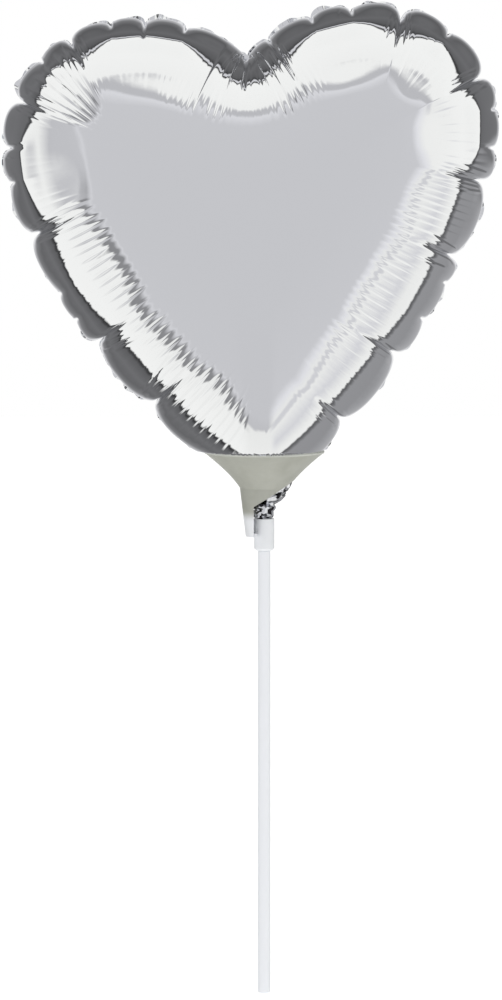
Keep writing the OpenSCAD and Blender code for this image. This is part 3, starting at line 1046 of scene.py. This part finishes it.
LOW_RIGHT = [
    (0, 0.65), (36, 0.67), (43, 0.86), (49, 0.93), (51, 0.72), (54, 0.72), (56, 0.95), (70, 0.76),
    (81, 0.95), (88, 1.0), (90, 0.14), (92, 0.14), (97, 0.33), (120, 0.32), (144, 0.42), *PAPER_RING,
]
TOP = [
    (0, 0.65), (38, 0.66), (43, 0.72), (48, 0.80), (50, 0.57), (54, 0.57), (57, 1.0), (87, 1.04),
    (88.5, 0.05), (90, 0.05), (91.2, 0.74), (93.6, 0.74), (95, 0.05), (97, 0.08), (100, 0.12), (114, 0.16),
    (128, 0.12), (144, 0.22), *PAPER_RING,
]
BELOW = [(0, 0.65), (42, 0.64), (50, 0.60), (52, 0.94), (98, 1.0), (106, 0.15), (144, 0.2), *PAPER_RING]
# Which way a table holds for, how close to that way it fades in, how close it is in full, and the table.
BOXES = [
    ((-1, 0, 0), 0.0, 0.3, LEFT), ((-0.99, 0, 0.14), 0.90, 0.97, FAR_LEFT),
    ((0.99, 0, 0.1), 0.91, 0.98, FAR_RIGHT), ((0.74, 0, -0.67), 0.78, 0.92, LOW_RIGHT),
    ((0, 0, 1), 0.66, 0.78, TOP), ((0, 0, -1), 0.86, 0.95, BELOW),
]
print("tables of brightness:", 1 + len(BOXES))

# %% Directions in the room
world = bpy.data.worlds.new("studio")
bpy.context.scene.world = world
world.use_nodes = True
sky = world.node_tree
sky.nodes.clear()
place = node(sky, "ShaderNodeTexCoord")
unit = node(sky, "ShaderNodeVectorMath", {0: place.outputs["Generated"]}, operation="NORMALIZE")
facing = node(sky, "ShaderNodeVectorMath", {0: unit.outputs[0]}, {1: (0, -1, 0)}, operation="DOT_PRODUCT")
angle = node(sky, "ShaderNodeMath", {0: facing.outputs["Value"]}, operation="ARCCOSINE")
share = node(sky, "ShaderNodeMapRange", {"Value": angle.outputs[0]}, {1: 0.0, 2: math.pi})
flat = node(sky, "ShaderNodeVectorMath", {0: unit.outputs[0]}, {1: (1, 0, 1)}, operation="MULTIPLY")
round_front = node(sky, "ShaderNodeVectorMath", {0: flat.outputs[0]}, operation="NORMALIZE")
print("nodes for the directions:", len(sky.nodes))

# %% Studio
BRIGHT, WARM, COOL = 0.9, 0.965, 1.02


def glow_ramp(glow):
    """Brightness by angle. Lit paper is a touch warm to even out the bluish film, and the rest is cooler."""
    ramp = node(sky, "ShaderNodeValToRGB", {0: share.outputs[0]})
    stops = ramp.color_ramp.elements
    while len(stops) < len(glow):
        stops.new(0.5)
    for stop, (degrees, value) in zip(stops, glow):
        stop.position = degrees / 180
        stop.color = (value, value, value * (WARM if value > BRIGHT else COOL), 1)
    return ramp.outputs[0]


room = glow_ramp(RIGHT)
for direction, low, high, glow in BOXES:
    towards = node(sky, "ShaderNodeVectorMath", {0: round_front.outputs[0]}, {1: direction},
                   operation="DOT_PRODUCT")
    amount = node(sky, "ShaderNodeMapRange", {"Value": towards.outputs["Value"]}, {1: low, 2: high},
                  interpolation_type="SMOOTHSTEP")
    room = node(sky, "ShaderNodeMix", {0: amount.outputs[0], 6: room, 7: glow_ramp(glow)},
                data_type="RGBA").outputs[2]
studio = node(sky, "ShaderNodeBackground", {0: room})
paper = node(sky, "ShaderNodeBackground", values={0: (1, 1, 1, 1)})
rays = node(sky, "ShaderNodeLightPath")
both = node(sky, "ShaderNodeMixShader",
            {0: rays.outputs["Is Camera Ray"], 1: studio.outputs[0], 2: paper.outputs[0]})
node(sky, "ShaderNodeOutputWorld", {0: both.outputs[0]})
bpy.context.scene.view_settings.view_transform = "Standard"
print("nodes of the studio:", len(sky.nodes))

# %% [markdown]
# ## Floor
# The stick's end rests on a plain pale floor. It is only a stage. It is hidden from mirrors, because foil
# this bright would show its far edge, and it glows a little, so that it is as white as the paper behind
# it and no horizon shows.

# %% Floor
FLOOR_HALF, FLOOR_BELOW, FLOOR_GLOW = 3, 0.0005, 0.7
corners = [(x * FLOOR_HALF, y * FLOOR_HALF, 0) for x, y in ((-1, -1), (1, -1), (1, 1), (-1, 1))]
floor_mesh = bpy.data.meshes.new("floor")
floor_mesh.from_pydata(corners, [], [(0, 1, 2, 3)])
floor = bpy.data.objects.new("floor", floor_mesh)
bpy.context.scene.collection.objects.link(floor)
floor.location.z = -FLOOR_BELOW
floor_material = start_material("pale_floor", "#F4F4F4", Roughness=0.9, Emission_Strength=FLOOR_GLOW)[0]
dress(floor, floor_material)
floor.visible_glossy = False
print("floor in metres:", [round(c, 1) for c in floor.dimensions])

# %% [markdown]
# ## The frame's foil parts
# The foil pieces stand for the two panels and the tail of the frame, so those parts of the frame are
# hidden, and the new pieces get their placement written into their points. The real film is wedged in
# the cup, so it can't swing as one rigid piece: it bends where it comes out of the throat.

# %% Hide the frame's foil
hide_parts("front_panel")
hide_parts("back_panel")
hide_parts("foil_tail")
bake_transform(tail)
for piece in (front_foil, back_foil, flange):
    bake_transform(piece)
